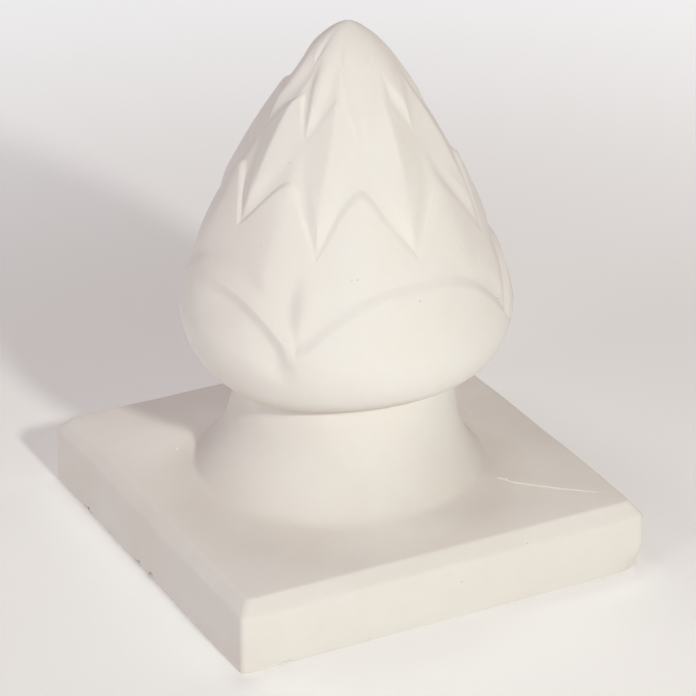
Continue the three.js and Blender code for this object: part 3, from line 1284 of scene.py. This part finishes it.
@dataclass
class Casting:
    """The whole finial, slab, neck and cone in one closed surface."""

    slab: Slab
    neck: Neck
    cone: PineCone
    wear: Wear = field(default_factory=Wear)
    finish: CastStone = field(default_factory=CastStone)
    swell_depth: float = 0.22 * MM
    swell_size: float = 26 * MM
    ripple_depth: float = 0.07 * MM
    ripple_size: float = 7 * MM
    ripple_shift: tuple[float, float, float] = (7.0, 3.0, 5.0)
    still_height: float = 2 * MM
    sharp_angle: float = 38.0
    inset: float = 0.05 * MM

    def surface(self) -> np.ndarray:
        """Rows of points over the whole casting, from the middle of the underside to the tip.

        Returns:
            Rows of points, a row being one point a column.
        """
        azimuths = np.arange(COLUMNS) * 2 * math.pi / COLUMNS
        azimuths = np.where(azimuths > math.pi, azimuths - 2 * math.pi, azimuths)
        slab = self.slab.rows(azimuths, self.neck.foot_ring(azimuths))
        neck = self.neck.rows(azimuths, self.slab, self.cone.crease_lift(np.degrees(azimuths)))
        return np.concatenate([slab, neck, self.cone.rows(azimuths)])

    def model(self) -> bpy.types.Object:
        """Models the closed casting, before its wear."""
        return shaped_ball("finial_casting", self.surface(), (0.0, 0.0, 0.0), self.cone.summit())

    def unsettle(self, casting: bpy.types.Object) -> None:
        """Gives the hand-finished surface its slow swells and fine ripples, along the normals.

        The underside stays flat and the casting stays within the frame's box.

        Args:
            casting: The casting, which is changed.
        """
        mesh = casting.data
        low, high = Vector(CAD_BOX[0]), Vector(CAD_BOX[1])
        moved = []
        for vertex in mesh.vertices:
            place = vertex.co
            slow = noise.noise(place / self.swell_size)
            fine = noise.noise(place / self.ripple_size + Vector(self.ripple_shift))
            lift = self.swell_depth * slow + self.ripple_depth * fine
            ease = min(1.0, max(place.z, 0) / self.still_height)
            target = place + vertex.normal * lift * ease
            held = [min(max(target[i], low[i] + self.inset), high[i] - self.inset) for i in range(2)]
            height = min(max(target.z, low.z), high.z)
            moved.append((held[0], held[1], height))
        mesh.vertices.foreach_set("co", np.array(moved).ravel())
        mesh.update()

    def merge(self, casting: bpy.types.Object, tool: bpy.types.Object, operation: str) -> None:
        """Cuts a tool out of the casting or adds it, and takes the tool away.

        Args:
            casting: The casting, which is changed.
            tool: The closed piece that cuts it or joins it.
            operation: DIFFERENCE to cut and UNION to join.
        """
        deselect()
        bpy.context.view_layer.objects.active = casting
        casting.select_set(True)
        step = casting.modifiers.new("wear", "BOOLEAN")
        step.operation = operation
        step.solver = "EXACT"
        step.object = tool
        bpy.ops.object.modifier_apply(modifier=step.name)
        bpy.data.objects.remove(tool)

    def build(self, camera: Camera) -> bpy.types.Object:
        """Models the casting and its wear and gives it its stone.

        Args:
            camera: The camera of the photograph, by which the wear is placed.

        Returns:
            The finished casting, riding on the frame in place of its node.
        """
        casting = self.model()
        self.unsettle(casting)
        ground = BVHTree.FromObject(casting, bpy.context.evaluated_depsgraph_get())
        fin = self.wear.fin.build(ground, camera)
        self.merge(casting, self.wear.cutters(ground, camera), "DIFFERENCE")
        self.merge(casting, fin, "UNION")
        deselect()
        casting.select_set(True)
        bpy.context.view_layer.objects.active = casting
        bpy.ops.object.shade_smooth_by_angle(angle=math.radians(self.sharp_angle))
        casting.data.materials.clear()
        casting.data.materials.append(self.finish.build())
        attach(casting, BODY)
        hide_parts(NODE)
        triangles = sum(len(face.vertices) - 2 for face in casting.data.polygons)
        LOG.info("%s has %d triangles", casting.name, triangles)
        return casting


@dataclass(frozen=True)
class Softbox:
    """A soft studio lamp that faces a point of the finial."""

    name: str
    azimuth: float
    elevation: float
    power: float
    colour_hex: str
    size: float = 0.5
    distance: float = 1.5

    def build(self, target: Vector) -> None:
        """Makes the lamp, turned to the target.

        Args:
            target: The point that the lamp faces.
        """
        turn, tilt = math.radians(self.azimuth), math.radians(self.elevation)
        away = Vector((math.cos(turn) * math.cos(tilt), math.sin(turn) * math.cos(tilt), math.sin(tilt)))
        data = bpy.data.lights.new(self.name, "AREA")
        data.shape = "DISK"
        data.size = self.size
        data.energy = self.power
        data.color = linear(self.colour_hex)[:3]
        lamp = bpy.data.objects.new(self.name, data)
        lamp.location = target + away * self.distance
        lamp.rotation_mode = "QUATERNION"
        lamp.rotation_quaternion = away.to_track_quat("Z", "Y")
        bpy.context.scene.collection.objects.link(lamp)


@dataclass
class Studio:
    """A plain pale floor and soft light.

    The floor is pale and without gloss, and it glows though it is no lamp: a painted light, weaker near the
    finial and stronger away from it, which also throws a little light up under the cone.
    """

    floor_size: float = 8.0
    floor_hex: str = "#f7f6f4"
    floor_roughness: float = 0.95
    near_glow: float = 0.13
    far_glow: float = 0.5
    glow_reach: tuple[float, float] = (0.22, 0.9)
    glow_hex: str = "#eefaff"
    sky_hex: str = "#ffbaba"
    sky_strength: float = 0.12
    lamps: tuple[Softbox, ...] = (
        Softbox("key softbox", -92.0, 27.3, 11.8, "#fcfff5", size=0.12),
        Softbox("front left fill", -163.0, 24.0, 3.0, "#fbfdff"),
        Softbox("back left fill", -215.0, 27.0, 2.4, "#fffaf6"),
        Softbox("left overhead fill", -190.0, 62.0, 1.8, "#f8fcff"),
        Softbox("right fill", 20.0, 27.0, 2.2, "#fff5ed"),
        Softbox("back overhead fill", 60.0, 68.0, 3.2, "#f8ffff"),
    )

    def lay_floor(self) -> None:
        """Lays the floor, whose painted glow grows the further it is from the finial."""
        deselect()
        bpy.ops.mesh.primitive_plane_add(size=self.floor_size, location=(0, 0, 0))
        floor = bpy.context.object
        floor.name = "studio_floor"
        material = bpy.data.materials.new("pale floor with a painted glow")
        material.use_nodes = True
        tree = material.node_tree
        shader = tree.nodes["Principled BSDF"]
        shader.inputs["Base Color"].default_value = linear(self.floor_hex)
        shader.inputs["Roughness"].default_value = self.floor_roughness
        shader.inputs["Emission Color"].default_value = linear(self.glow_hex)
        place = add_node(tree, "ShaderNodeTexCoord")
        reach = add_node(tree, "ShaderNodeVectorMath", {}, {0: (place, "Object")}, operation="LENGTH")
        near, far = self.glow_reach
        # Painted light: the floor shines of itself, weaker near the finial and stronger further off.
        span = {"From Min": near, "From Max": far, "To Min": self.near_glow, "To Max": self.far_glow}
        glow = add_node(tree, "ShaderNodeMapRange", span, {"Value": (reach, "Value")},
                        interpolation_type="SMOOTHSTEP")
        tree.links.new(glow.outputs["Result"], shader.inputs["Emission Strength"])
        floor.data.materials.append(material)

    def fill_room(self) -> None:
        """Gives the room its faint even light."""
        world = bpy.data.worlds.new("soft room light")
        world.use_nodes = True
        sky = world.node_tree.nodes["Background"]
        sky.inputs["Color"].default_value = linear(self.sky_hex)
        sky.inputs["Strength"].default_value = self.sky_strength
        bpy.context.scene.world = world

    def build(self, target: Vector) -> None:
        """Makes the floor, the room's light and the lamps.

        Args:
            target: The point that the lamps face.
        """
        self.lay_floor()
        self.fill_room()
        bpy.context.scene.view_settings.view_transform = "Standard"
        for lamp in self.lamps:
            lamp.build(target)


def main() -> None:
    """Builds the camera, the casting and the studio, sized from the part's box."""
    logging.basicConfig(level=logging.INFO, format="%(name)s: %(message)s")
    low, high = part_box(NODE)
    slab = Slab(width=high.x - low.x)
    neck = Neck()
    cone = PineCone(base_height=CONE_FOOT, height=high.z - CONE_FOOT)
    camera = Camera()
    camera.build()
    Casting(slab, neck, cone).build(camera)
    Studio().build(Vector((0, 0, high.z / 2)))


if __name__ == "__main__":
    main()
